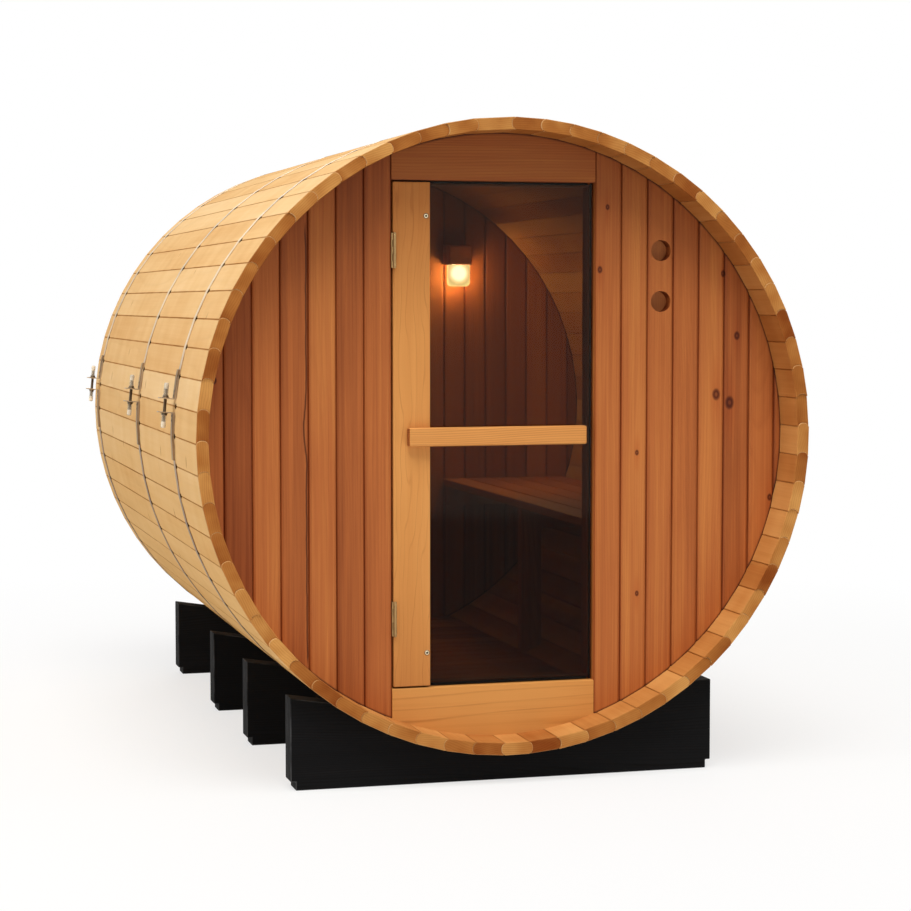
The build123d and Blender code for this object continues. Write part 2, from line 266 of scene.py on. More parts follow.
def prism(profile, length, place_of_solid, eased):
    """Solid of a profile in local YZ run along local X, its ends eased."""
    middle_z = sum(z for y, z in profile) / len(profile)
    half_width = max(abs(y) for y, z in profile)
    half_height = max(abs(z - middle_z) for y, z in profile)
    rings = []
    for x, inset in ((0, eased), (eased, 0), (length - eased, 0), (length, eased)):
        narrower, lower = 1 - inset / half_width, 1 - inset / half_height
        rings.append([(x, y * narrower, middle_z + (z - middle_z) * lower) for y, z in profile])
    return skinned(rings, place_of_solid)


def plank(place_of_plank, length, width, thickness, eased=EASED_EDGE):
    """Board centred on its place, with all its edges eased."""
    solid = bmesh.new()
    bmesh.ops.create_cube(solid, size=1, matrix=Matrix.Diagonal((length, width, thickness, 1)))
    eased_edges(solid, solid.edges[:], eased)
    solid.transform(place_of_plank)
    solid.normal_update()
    return solid


def matchboard(place_of_board, length, width, thickness):
    """Board centred on its place, with half of a vee down each side of both faces."""
    profile = []
    for side, face in ((-1, 1), (1, 1), (1, -1), (-1, -1)):
        corner = []
        for inwards, down in BOARD_VEE_CURVE:
            y, z = width / 2 - inwards * BOARD_VEE, thickness / 2 - down * BOARD_VEE_DEPTH
            corner.append((side * y, face * z))
        profile += corner if side == face else reversed(corner)
    start = place_of_board @ Matrix.Translation((-length / 2, 0, 0))
    return prism(profile, length, start, MATCHBOARD_EDGE)


def clip_to_ring(solid):
    """Cuts a convex board off at the flats of the stave ring."""
    for stave_number in range(STAVE_COUNT):
        start, end = corner_angle(stave_number), corner_angle(stave_number + 1)
        normal = radial((start + end) / 2)
        point = on_ring((start + end) / 2, WALL_CLIP_RADIUS * math.cos((end - start) / 2))
        if max((vert.co - point).dot(normal) for vert in solid.verts) < TOUCHING:
            continue
        everything = solid.verts[:] + solid.edges[:] + solid.faces[:]
        cut = bmesh.ops.bisect_plane(solid, geom=everything, plane_co=point, plane_no=normal,
                                     clear_outer=True)
        edges = [item for item in cut["geom_cut"] if isinstance(item, bmesh.types.BMEdge)]
        bmesh.ops.edgenet_fill(solid, edges=edges)
    bmesh.ops.recalc_face_normals(solid, faces=solid.faces)
    return solid


def bored(solid, holes):
    """The board with round holes along Y through it, each hole (x, z, radius)."""
    board = as_object("bored_board", solid)
    for x, z, radius in holes:
        drill = bmesh.new()
        bmesh.ops.create_cone(drill, cap_ends=True, segments=48, radius1=radius, radius2=radius,
                              depth=DRILL_LENGTH, matrix=facing(x, 0, z))
        hole = board.modifiers.new("hole", "BOOLEAN")
        hole.operation = "DIFFERENCE"
        hole.solver = "EXACT"
        hole.object = as_object("drill", drill)
    bpy.context.view_layer.update()
    result = bmesh.new()
    result.from_object(board, bpy.context.evaluated_depsgraph_get())
    for used in [modifier.object for modifier in board.modifiers] + [board]:
        bpy.data.objects.remove(used)
    return result


def lathe(profile, place_of_solid, segments=24):
    """Round solid from (radius, height) points about local Z."""
    turns = [math.tau * step / segments for step in range(segments)]
    rings = [[(radius * math.cos(turn), radius * math.sin(turn), height) for turn in turns]
             for radius, height in profile]
    return skinned(rings, place_of_solid)


# Pieces

def linked(name, data):
    """Scene object of a mesh, a light or a camera."""
    made = bpy.data.objects.new(name, data)
    bpy.context.scene.collection.objects.link(made)
    return made


def as_object(name, solid):
    """Scene object of a bmesh, smooth except at its sharp edges."""
    for face in solid.faces:
        face.smooth = True
    for edge in solid.edges:
        edge.smooth = edge.is_manifold and edge.calc_face_angle(0) < SMOOTH_ANGLE
    mesh = bpy.data.meshes.new(name)
    solid.to_mesh(mesh)
    solid.free()
    return linked(name, mesh)


def joined(solids):
    """One bmesh of several."""
    whole = bmesh.new()
    for solid in solids:
        copy = bpy.data.meshes.new("copy")
        solid.to_mesh(copy)
        whole.from_mesh(copy)
        bpy.data.meshes.remove(copy)
        solid.free()
    return whole


def settle(made, material, nodes, body):
    """Gives a piece its finish, its body and the frame nodes that it stands for."""
    made.data.materials.append(material)
    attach(made, body)
    if nodes:
        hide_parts(*nodes)


def piece(name, solids, material, nodes=(), body="sauna"):
    """Piece of plain solids."""
    settle(as_object(name, joined(solids)), material, nodes, body)


def quarter_sawn():
    """Where a board lay from the pith, cut so that straight lines run down its face."""
    side = chance.choice((-1, 1))
    return Vector((chance.uniform(0, 40), side * chance.uniform(0.09, 0.22), chance.uniform(0.0, 0.06)))


def flat_sawn():
    """Where a board lay from the pith, cut so that arches and ovals run down its face."""
    return Vector((chance.uniform(0, 40), chance.uniform(-0.02, 0.02), chance.uniform(0.035, 0.055)))


def plain_board(solid, board_place, tones):
    """Board for timber, quarter sawn and of a tone between two."""
    return solid, board_place, chance.uniform(*tones), quarter_sawn()


def end_grain(squareness):
    """How much end grain a face shows, by how squarely it faces along its board."""
    if squareness > 0.8:
        return 1.0
    return 0.6 if squareness > 0.4 else 0.0


def timber(name, boards, material, nodes=(), body="sauna"):
    """Piece of boards, each (solid, place, tone, pith), with the grain along each place's X."""
    points, grain, faces = [], [], []
    looks = {"tone": [], "end": [], "underside": [], "eased": []}
    for solid, board_place, tone, pith in boards:
        inward = board_place.inverted()
        first = len(points)
        solid.verts.index_update()
        for vert in solid.verts:
            points.append(vert.co[:])
            grain.extend(inward @ vert.co + pith)
        for face in solid.faces:
            faces.append([first + vert.index for vert in face.verts])
            normal = inward.to_3x3() @ face.normal
            squarest = max(abs(part) for part in normal)
            looks["tone"].append(tone)
            looks["end"].append(end_grain(abs(normal.x)))
            looks["underside"].append(float(normal.z < -0.6))
            looks["eased"].append(min(8 * (1 - squarest), 1.0))
        solid.free()
    mesh = bpy.data.meshes.new(name)
    mesh.from_pydata(points, [], faces)
    mesh.attributes.new("grain", "FLOAT_VECTOR", "POINT").data.foreach_set("vector", grain)
    for label, values in looks.items():
        mesh.attributes.new(label, "FLOAT", "FACE").data.foreach_set("value", values)
    mesh.validate()
    settle(linked(name, mesh), material, nodes, body)


# Materials

def srgb(red, green, blue):
    """Scene colour of an sRGB colour given out of 255."""
    channels = [channel / 255 for channel in (red, green, blue)]
    linear = [part / 12.92 if part <= 0.04045 else ((part + 0.055) / 1.055) ** 2.4 for part in channels]
    return (*linear, 1)


class Shader:
    """Node tree of a material or a world, with short calls for the nodes that they share."""

    def __init__(self, owner, surface="Principled BSDF", output="Material Output"):
        owner.use_nodes = True
        self.owner = owner
        self.tree = owner.node_tree
        self.surface = self.tree.nodes[surface]
        self.output = self.tree.nodes[output]
        self.colour = None

    def put(self, socket, value):
        """Links a socket to another, or sets its value."""
        if isinstance(value, bpy.types.NodeSocket):
            self.tree.links.new(value, socket)
        else:
            socket.default_value = value

    def feed(self, node, inputs):
        """Puts values on a node's inputs, by label or number."""
        for label, value in inputs.items():
            self.put(node.inputs[label], value)

    def node(self, kind, inputs=None, **settings):
        """New node with its settings made and its inputs fed."""
        made = self.tree.nodes.new(kind)
        for setting, value in settings.items():
            setattr(made, setting, value)
        self.feed(made, inputs or {})
        return made

    def math(self, operation, first, second=0.0, third=0.0, clamp=False):
        """Result of a Math node."""
        inputs = {0: first, 1: second, 2: third}
        return self.node("ShaderNodeMath", inputs, operation=operation, use_clamp=clamp).outputs[0]

    def times(self, first, second, plus=0.0):
        """Product of two values, and what is added to it."""
        return self.math("MULTIPLY_ADD", first, second, plus)

    def minus(self, first, second, clamp=False):
        """Difference of two values."""
        return self.math("SUBTRACT", first, second, clamp=clamp)

    def over(self, first, second):
        """Quotient of two values."""
        return self.math("DIVIDE", first, second)

    def larger(self, first, second):
        """The larger of two values."""
        return self.math("MAXIMUM", first, second)

    def varied(self, noise, amount, base):
        """The base, raised or lowered as the noise is above or below its middle."""
        return self.times(self.minus(noise, 0.5), amount, base)

    def vector(self, operation, first, second=(0, 0, 0)):
        """Result of a Vector Math node."""
        made = self.node("ShaderNodeVectorMath", {0: first, 1: second}, operation=operation)
        return made.outputs["Value" if operation in ("LENGTH", "DISTANCE") else "Vector"]

    @property
    def here(self):
        """Place of the point that is shaded."""
        return self.node("ShaderNodeTexCoord").outputs["Object"]

    def split(self, vector):
        """Outputs X, Y and Z of a vector."""
        return self.node("ShaderNodeSeparateXYZ", {0: vector}).outputs

    def distance(self, centre, stretch=(1, 1, 1)):
        """How far the point is from a centre, along stretched axes."""
        stretched = tuple(part * factor for part, factor in zip(centre, stretch))
        return self.vector("DISTANCE", self.vector("MULTIPLY", self.here, stretch), stretched)

    def attribute(self, label, output="Fac"):
        """What timber gave a board or a face."""
        return self.node("ShaderNodeAttribute", attribute_name=label).outputs[output]

    def noise(self, stretch, detail, at=None, roughness=0.5):
        """Smooth noise, finer along an axis that is stretched more."""
        return self.node("ShaderNodeTexNoise", {
            "Vector": self.vector("MULTIPLY", at or self.here, stretch), "Scale": 1,
            "Detail": detail, "Roughness": roughness}).outputs["Fac"]

    def ramp(self, value, *stops):
        """Colour ramp of (position, colour or grey) stops."""
        made = self.node("ShaderNodeValToRGB", {"Fac": value})
        elements = made.color_ramp.elements
        while len(elements) < len(stops):
            elements.new(0.5)
        for element, (position, colour) in zip(elements, stops):
            element.position = position
            element.color = colour if isinstance(colour, tuple) else (colour, colour, colour, 1)
        return made.outputs["Color"]

    def mix(self, amount, first, second, blend="MIX"):
        """One colour over another, by an amount."""
        made = self.node("ShaderNodeMix", data_type="RGBA", blend_type=blend)
        sockets = {socket.identifier: socket for socket in (*made.inputs, *made.outputs)}
        for label, value in (("Factor_Float", amount), ("A_Color", first), ("B_Color", second)):
            self.put(sockets[label], value)
        return sockets["Result_Color"]

    def fade(self, distance, reach):
        """One at no distance, falling evenly to nothing at its reach."""
        return self.minus(1, self.over(distance, reach), clamp=True)

    def above(self, low, height):
        """How high the point is above a height, as a share of another height."""
        return self.over(self.minus(self.split(self.here)["Z"], low), height)

    def cover(self, amount, colour):
        """Lays another colour over the colour so far, by an amount."""
        self.colour = self.mix(amount, self.colour, colour)

    def darken(self, amount, tint):
        """Multiplies the colour so far by a tint, as far as the amount goes."""
        self.colour = self.mix(amount, self.colour, (*tint, 1), "MULTIPLY")

    def node_grain(self, along):
        """Grain coordinates of a frame node along a row axis, and where its end grain shows."""
        source = self.node("ShaderNodeTexCoord").outputs
        parts = self.split(source["Object"])
        order = {"X": "XYZ", "Y": "YXZ", "Z": "ZXY"}[along]
        turned = self.node("ShaderNodeCombineXYZ", {slot: parts[axis] for slot, axis in enumerate(order)})
        squareness = self.math("ABSOLUTE", self.split(source["Normal"])[along])
        end = self.math("GREATER_THAN", squareness, 0.7)
        return self.vector("ADD", turned.outputs[0], (3.7, 0.13, 0.03)), end

    def bump(self, height, strength, distance):
        """Fine relief of the surface."""
        made = self.node("ShaderNodeBump", {"Strength": strength, "Distance": distance, "Height": height})
        self.feed(self.surface, {"Normal": made.outputs["Normal"]})

    def blend(self, amount, first, second):
        """Shows one shader node or, by an amount, another."""
        inputs = {0: amount, 1: first.outputs[0], 2: second.outputs[0]}
        self.feed(self.output, {"Surface": self.node("ShaderNodeMixShader", inputs).outputs[0]})

    def white_rays(self):
        """One for a ray that should find the white background: camera, glossy and transmission."""
        path = self.node("ShaderNodeLightPath").outputs
        seen = self.larger(path["Is Camera Ray"], path["Is Glossy Ray"])
        return self.larger(seen, path["Is Transmission Ray"])


def material_shader(name):
    """Shader of a new material."""
    return Shader(bpy.data.materials.new(name))


# What wood is multiplied by where a mark is at its fullest
LATE_WOOD = (0.55, 0.40, 0.30)
KNOT_CORE = (0.30, 0.19, 0.14)
LOWER_SIDE_SHADE = (0.84, 0.77, 0.62)
JOINT_LINE = (0.46, 0.26, 0.08)
BAND_STAIN_AND_SHADOW = (0.30, 0.15, 0.04)
CROSSING_SPOT = (0.07, 0.04, 0.02)
STAVE_INSIDE_TOP_SHADE = (0.53, 0.41, 0.35)
LONG_KNOT = (0.45, 0.28, 0.15)
WALL_TOP_SHADE = (0.50, 0.43, 0.38)
VEE_SHADE = (0.50, 0.31, 0.18)
WALL_EDGE_SHADE = (0.12, 0.06, 0.04)
RED_ROUND_KNOT = (0.80, 0.52, 0.40)
WALL_KNOT = (0.18, 0.09, 0.06)
CRACK = (0.14, 0.09, 0.07)
STILE_END_SHADE = (0.66, 0.54, 0.45)
BAND_LOWER_SHADE = (0.29, 0.19, 0.09)

# Stains with painted shadow beside the bands: how far they reach, how far they lie ahead of a band,
# and the dark spot, part staining and part painted shadow, where a joint meets a band, by how far it is
# ahead and its half size along and across
STAIN_SHADOW_REACH = 0.020
STAIN_SHADOW_LEAD = 0.004
SPOT_LEAD = 0.010
SPOT_LENGTH = 0.019
SPOT_WIDTH = 0.0098
JOINT_LINE_REACH = 0.0036

# The lit bulb, from the middle, the front and the top of the lamp's glass
BULB_OFFSET = (-0.007, 0, -0.031)
BULB_GLARE = 0.07
BULB_STRENGTH = 6

# Knots of the front wall that show, by x, z and radius
WALL_KNOTS = (
    (0.302, 1.485, 0.005), (0.325, 1.668, 0.004), (0.420, 0.945, 0.004), (0.422, 0.525, 0.004),
    (0.670, 1.115, 0.008), (0.713, 1.090, 0.009), (0.735, 1.290, 0.006), (0.690, 1.475, 0.005),
    (0.845, 0.803, 0.005), (0.845, 0.715, 0.005), (0.870, 0.835, 0.006), (-0.842, 1.170, 0.005),
)

# A crack down the fourth board left of the door, bowed out at one place
CRACK_X = -0.578
CRACK_ENDS = (0.35, 1.62)
CRACK_BOW = 0.007
CRACK_WANDER = 0.010
CRACK_HALF_WIDTH = 0.0042

# Knots cut lengthwise, as dashes across the staves: depth from the rim, angle, half length
STAVE_KNOTS = (
    (0.20, 184, 0.022), (0.71, 184, 0.020), (1.91, 184, 0.020), (1.63, 186, 0.018), (1.09, 172, 0.020),
    (1.98, 172, 0.020), (1.63, 166, 0.016), (2.00, 155, 0.016), (0.65, 196, 0.022), (2.05, 191, 0.020),
    (1.42, 201, 0.018), (0.98, 207, 0.018), (0.88, 148, 0.012), (1.50, 143, 0.012),
)


def wood(name, tones, end_tones, under_tones=None, along=None, figure=1.0, ring_width=0.007,
         line_depth=0.5, late_share=0.5, ripple_depth=0.0, streak=0.7, mottle=0.0, knot_share=0.0,
         knot_shape=(3.2, 3.6, 0.6), roughness=0.6, specular=0.2, marks=()):
    """Solid wood: growth rings round a wandering pith, streaks, fibres and knots.

    tones are three colours from a dark to a pale board. Boards bring their own grain coordinates;
    a frame node has its grain along the row axis that is named instead. marks are functions that
    add what is particular to one surface, each given the shader.
    """
    shader = material_shader(name)
    if along is None:
        grain = shader.attribute("grain", "Vector")
        tone, end, under = (shader.attribute(label) for label in ("tone", "end", "underside"))
    else:
        grain, end = shader.node_grain(along)
        tone, under = 0.5, 0.0

    # Growth rings
    sway = shader.noise((0.9, 5, 5), 1, grain)
    ripple = shader.noise((4, 26, 26), 1, grain)
    rings_at = shader.vector("LENGTH", shader.vector("MULTIPLY", grain, (0, 1, 1)))
    rings_at = shader.times(sway, 0.11 * figure, rings_at)
    rings_at = shader.times(ripple, 0.005 + ripple_depth, rings_at)

    # Knots, round which the rings bend
    cells = shader.node("ShaderNodeTexVoronoi", {
        "Vector": shader.vector("MULTIPLY", grain, knot_shape), "Scale": 1}).outputs
    chosen = shader.node("ShaderNodeSeparateColor", {0: cells["Color"]}).outputs[0]
    has_knot = shader.math("LESS_THAN", chosen, knot_share)
    near_knot = shader.times(shader.fade(cells["Distance"], 0.16), has_knot)
    rings_at = shader.times(shader.math("POWER", near_knot, 2), -0.03, rings_at)
    spacing = shader.times(end, 0.006 - ring_width, ring_width)
    ring = shader.math("FRACT", shader.over(rings_at, spacing))
    peak = 0.7 + late_share * 0.28
    late_wood = shader.ramp(ring, (0.0, 0.0), (late_share, 0.1), (peak, 1.0), (1.0, 0.0))

    # Colour
    streaks = shader.noise((0.9, 60, 60), 4, grain, roughness=0.62)
    threads = shader.noise((2.5, 210, 210), 2, grain)
    blotches = shader.noise((1.3, 9, 9), 2, grain)
    shade = shader.varied(blotches, 0.6, tone)
    shade = shader.varied(streaks, streak, shade)
    shade = shader.varied(threads, streak / 2, shade)
    if mottle:
        across = shader.noise((9, 2, 2), 1, grain)
        shade = shader.varied(across, mottle, shade)
    shader.colour = shader.ramp(shade, *zip((0.0, 0.5, 1.0), tones))
    if under_tones:
        shader.cover(under, shader.ramp(shade, *zip((0.1, 0.5, 0.9), under_tones)))
    shade = shader.varied(blotches, 0.8, tone)
    shader.cover(end, shader.ramp(shade, *zip((0.2, 0.5, 0.8), end_tones)))
    line_strength = shader.times(shader.ramp(streaks, (0.35, 0.2), (0.65, 1.0)), line_depth)
    line_strength = shader.times(end, 0.28, line_strength)
    shader.darken(shader.times(late_wood, line_strength), LATE_WOOD)
    core = shader.ramp(near_knot, (0.35, 0.0), (0.72, 0.45), (0.80, 1.0))
    shader.darken(core, KNOT_CORE)
    for mark in marks:
        mark(shader)

    # Gloss and relief
    fibres = shader.noise((14, 520, 520), 2, grain)
    shader.feed(shader.surface, {
        "Base Color": shader.colour, "Specular IOR Level": specular,
        "Roughness": shader.times(streaks, 0.22, roughness - 0.1)})
    shader.bump(shader.times(late_wood, -0.5, fibres), 0.35, 0.0006)
    return shader.owner


def joint_distance(shader):
    """Distance of a point from the nearest joint of the stave ring, measured round the barrel."""
    here = shader.split(shader.here)
    first, pitch = math.radians(FIRST_JOINT_ANGLE), math.radians(STAVE_ANGLE)
    turned = shader.math("ARCTAN2", shader.minus(here["Z"], AXIS_HEIGHT), here["X"])
    turned = shader.math("WRAP", turned, first + math.tau, first)
    staves = shader.over(shader.minus(turned, first), pitch)
    past_bottom = shader.math("GREATER_THAN", staves, BOTTOM_STAVE + 1)
    even = shader.minus(staves, KEY_STAVE_SHARE - 1)
    even = shader.times(past_bottom, 1 - BOTTOM_STAVE_SHARE, even)
    even = shader.larger(even, 0.5)
    nearest = shader.math("MINIMUM", shader.math("PINGPONG", even, 0.5), staves)
    return shader.times(nearest, pitch * BARREL_RADIUS)


def stave_marks(shader):
    """Brown joint lines, stains and painted shadow by the bands, dark spots, short knots, and painted
    shade low outside and high inside.
    """
    along = shader.split(shader.here)["Y"]
    height = shader.above(0, 2)
    from_joint = joint_distance(shader)
    under = shader.attribute("underside")
    on_side = shader.minus(1, shader.attribute("end"))
    outside = shader.minus(on_side, under, clamp=True)
    # Painted shade: the staves' outside darker towards the bottom of the barrel
    lower_shade = shader.times(shader.ramp(height, (0.15, 1.0), (0.60, 0.0)), outside)
    shader.darken(lower_shade, LOWER_SIDE_SHADE)
    patches = shader.noise((7, 7, 7), 3)
    line = shader.times(shader.fade(from_joint, JOINT_LINE_REACH), on_side)
    line = shader.times(line, shader.ramp(patches, (0.3, 0.6), (0.6, 1.0)))
    shader.darken(line, JOINT_LINE)

    # Stains with painted shadow beside each band, patchy
    stain_and_shadow, spot = 0.0, 0.0
    for label in BANDS:
        middle, size = middle_and_size(f"band_{label}")
        half = size.y / 2
        from_band = shader.math("ABSOLUTE", shader.minus(along, middle.y - STAIN_SHADOW_LEAD))
        off_band = shader.larger(shader.minus(from_band, half), 0.0)
        stain_and_shadow = shader.larger(stain_and_shadow, shader.fade(off_band, STAIN_SHADOW_REACH))
        ahead = shader.minus(middle.y - half - SPOT_LEAD, along)
        offset = shader.node("ShaderNodeCombineXYZ", {
            0: shader.over(ahead, SPOT_LENGTH), 1: shader.over(from_joint, SPOT_WIDTH)})
        spot = shader.larger(spot, shader.fade(shader.vector("LENGTH", offset.outputs[0]), 1.0))
    stain_and_shadow = shader.ramp(stain_and_shadow, (0.0, 0.0), (0.4, 0.25), (0.9, 1.0))
    runs = shader.noise((3, 3, 22), 3)
    stain_and_shadow = shader.times(stain_and_shadow, shader.ramp(runs, (0.35, 0.25), (0.6, 1.0)))
    stain_and_shadow = shader.times(stain_and_shadow, shader.ramp(height, (0.45, 1.0), (0.75, 0.6)))
    from_tensioner = shader.distance(on_ring(corner_angle(TENSIONER_CORNER)), (1, 0, 1))
    stain_and_shadow = shader.times(stain_and_shadow, shader.ramp(from_tensioner, (0.016, 0.1), (0.028, 1.0)))
    shader.darken(shader.times(stain_and_shadow, outside), BAND_STAIN_AND_SHADOW)
    # Painted shade on the staves' inner faces towards the top of the barrel
    top_shade = shader.times(shader.ramp(height, (0.55, 0.0), (0.85, 0.8)), under)
    shader.darken(top_shade, STAVE_INSIDE_TOP_SHADE)
    # Dark spot where a joint meets a band: part water staining, part painted shadow of the gap under the
    # band
    spot = shader.times(shader.ramp(spot, (0.0, 0.0), (0.4, 1.0)), outside)
    shader.darken(spot, CROSSING_SPOT)

    spike = 0.0
    rim = box("barrel_wall_01")[0].y
    for depth, angle, reach in STAVE_KNOTS:
        centre = on_ring(math.radians(angle), y=rim + depth)
        spike = shader.larger(spike, shader.fade(shader.distance(centre, (1, 4, 1)), reach))
    shader.darken(shader.ramp(spike, (0.0, 0.0), (0.35, 0.65), (0.6, 0.95)), LONG_KNOT)


def wall_marks(shader):
    """Painted shade in the vees, along the staves and towards the top of the wall."""
    # Painted shade in the vees between the boards
    patches = shader.noise((9, 9, 1.5), 2)
    vee_shade = shader.times(shader.attribute("eased"), shader.ramp(patches, (0.3, 0.6), (0.65, 1.0)))
    shader.darken(vee_shade, VEE_SHADE)
    # Painted shade towards the top, under the overhang of the staves
    top_shade = shader.ramp(shader.above(AXIS_HEIGHT, 1), (0.0, 0.0), (0.4, 0.15), (0.8, 0.85))
    shader.darken(top_shade, WALL_TOP_SHADE)
    # Painted shade along the edge where the boards meet the staves
    from_axis = shader.distance((0, 0, AXIS_HEIGHT), (1, 0, 1))
    to_staves = shader.larger(shader.minus(INNER_RADIUS - 0.001, from_axis), 0.0)
    shader.darken(shader.fade(to_staves, 0.006), WALL_EDGE_SHADE)


def front_marks(shader):
    """Knots of the front wall, and a crack down one board."""
    for x, z, radius in WALL_KNOTS:
        red = shader.fade(shader.distance((x, 0, z), (1, 0, 0.16)), radius * 3)
        shader.darken(shader.times(red, 0.55), RED_ROUND_KNOT)
        knot = shader.fade(shader.distance((x, 0, z), (1, 0, 0.7)), radius * 1.8)
        knot = shader.ramp(knot, (0.0, 0.0), (0.3, 0.75), (0.55, 1.0), (0.85, 0.6))
        shader.darken(knot, WALL_KNOT)
    low, high = CRACK_ENDS
    height = shader.above(low, high - low)
    bow = shader.ramp(height, (0.46, 0.0), (0.52, 1.0), (0.55, 1.0), (0.62, 0.0))
    wander = shader.noise((0, 0, 9), 3)
    crack_x = shader.varied(wander, CRACK_WANDER, CRACK_X)
    crack_x = shader.times(bow, -CRACK_BOW, crack_x)
    off_crack = shader.minus(shader.split(shader.here)["X"], crack_x)
    crack = shader.fade(shader.math("ABSOLUTE", off_crack), CRACK_HALF_WIDTH)
    along = shader.ramp(height, (0.0, 0.0), (0.02, 1.0), (0.97, 1.0), (1.0, 0.0))
    shader.darken(shader.times(crack, along), CRACK)


def stile_marks(shader):
    """Redder, darker wood towards the ends of the door's stile, painted shade deepest at the top under
    the overhang.
    """
    low, high = box("door_stile")
    height = shader.above(low.z, high.z - low.z)
    # Painted shade at the ends of the stile
    stile_shade = shader.ramp(height, (0.0, 0.45), (0.3, 0.12), (0.45, 0.0), (0.70, 0.1), (0.96, 1.0))
    shader.darken(stile_shade, STILE_END_SHADE)


def worn_and_highlit_edges(shader):
    """Grey wood where the black has worn off the eased edges, lighter in part as a painted highlight."""
    rubbed = shader.noise((18, 18, 18), 4)
    wear_and_highlight = shader.times(shader.attribute("eased"), shader.ramp(rubbed, (0.35, 0.15), (0.65, 0.95)))
    shader.cover(wear_and_highlight, srgb(84, 84, 86))


def band_lower_shade(shader):
    """Painted shade and dark reflection of the ground on the lower half of the bands."""
    shader.darken(shader.ramp(shader.above(0, 2), (0.40, 1.0), (0.55, 0.45), (0.66, 0.0)), BAND_LOWER_SHADE)


def metal(name, colour, roughness, scratches=(60, 4, 60), tarnish_to=0.6, relief=0.15, metallic=1.0,
          marks=()):
    """Metal with fine brushed scratches and darker, tarnished patches."""
    shader = material_shader(name)
    brushed = shader.noise(scratches, 3)
    tarnish = shader.ramp(shader.noise((9, 9, 9), 3), (0.4, 0.0), (0.7, 1.0))
    dull = tuple(channel * tarnish_to for channel in colour)
    shader.colour = shader.mix(tarnish, (*colour, 1), (*dull, 1))
    for mark in marks:
        mark(shader)
    shader.feed(shader.surface, {
        "Base Color": shader.colour, "Metallic": metallic,
        "Roughness": shader.times(brushed, 0.25, roughness - 0.1)})
    shader.bump(brushed, relief, 0.0003)
    return shader.owner


def plain(name, colour, roughness, alpha=1.0):
    """Moulded or painted surface with a fine grain and slight unevenness."""
    shader = material_shader(name)
    fine = shader.noise((400, 400, 400), 2)
    broad = shader.noise((25, 25, 25), 2)
    darker = tuple(channel * 0.64 for channel in colour[:3])
    shader.feed(shader.surface, {
        "Base Color": shader.mix(shader.ramp(broad, (0.4, 0.0), (0.7, 1.0)), colour, (*darker, 1)),
        "Roughness": shader.times(broad, 0.2, roughness - 0.1), "Alpha": alpha})
    shader.bump(fine, 0.2, 0.0003)
    return shader.owner


def tinted_glass(name):
    """Bronze-tinted door glass with faint smears."""
    shader = material_shader(name)
    clear = shader.node("ShaderNodeBsdfTransparent", {"Color": (0.52, 0.45, 0.39, 1)})
    smears = shader.noise((6, 6, 3), 3)
    shine = shader.node("ShaderNodeBsdfGlossy", {
        "Color": (0.9, 0.85, 0.8, 1), "Roughness": shader.times(smears, 0.05, 0.01)})
    edge_on = shader.node("ShaderNodeFresnel", {"IOR": 1.17})
    shader.blend(edge_on.outputs[0], clear, shine)
    return shader.owner


def lit_glass(name):
    """Frosted lamp glass with the bulb lit behind it; the bulb's light passes through to the wall."""
    shader = material_shader(name)
    low, high = box("lamp_glass")
    bulb = Vector(((low.x + high.x) / 2, low.y, high.z)) + Vector(BULB_OFFSET)
    away = shader.over(shader.distance(bulb), BULB_GLARE)
    warmth = shader.ramp(away, (0.30, srgb(255, 250, 226)), (0.52, srgb(250, 240, 176)),
                         (0.8, srgb(226, 228, 156)))
    glare = shader.ramp(away, (0.34, 1.0), (0.50, 0.62), (0.62, 0.48), (0.74, 0.70), (0.95, 0.85))
    frost = shader.noise((220, 220, 220), 2)
    shader.feed(shader.surface, {
        "Base Color": srgb(120, 112, 80), "Roughness": shader.times(frost, 0.2, 0.25),
        "Emission Color": warmth, "Emission Strength": shader.times(glare, BULB_STRENGTH)})
    shader.bump(frost, 0.15, 0.0003)
    is_shadow = shader.node("ShaderNodeLightPath").outputs["Is Shadow Ray"]
    shader.blend(is_shadow, shader.surface, shader.node("ShaderNodeBsdfTransparent"))
    return shader.owner


# Colours from a dark to a pale board
CEDAR = (srgb(128, 61, 24), srgb(177, 100, 49), srgb(208, 134, 68))
CEDAR_END = (srgb(112, 58, 26), srgb(158, 90, 42), srgb(190, 120, 62))
# Paler than the cedar: painted light on the vent cover, deep in the shaded holes
LIT_COVER = (srgb(166, 96, 50), srgb(190, 118, 66), srgb(206, 136, 80))
STAVE_OUTSIDE = (srgb(214, 163, 105), srgb(230, 190, 136), srgb(240, 207, 160))
STAVE_INSIDE = (srgb(166, 99, 47), srgb(195, 132, 71), srgb(218, 161, 95))
STAVE_END = (srgb(134, 70, 30), srgb(172, 110, 54), srgb(206, 150, 84))
ASPEN = (srgb(168, 103, 43), srgb(195, 129, 60), srgb(215, 151, 80))
HANDLE = (srgb(190, 121, 57), srgb(214, 147, 78), srgb(231, 171, 100))
STAIN = (srgb(11, 11, 12), srgb(19, 19, 20), srgb(31, 31, 32))

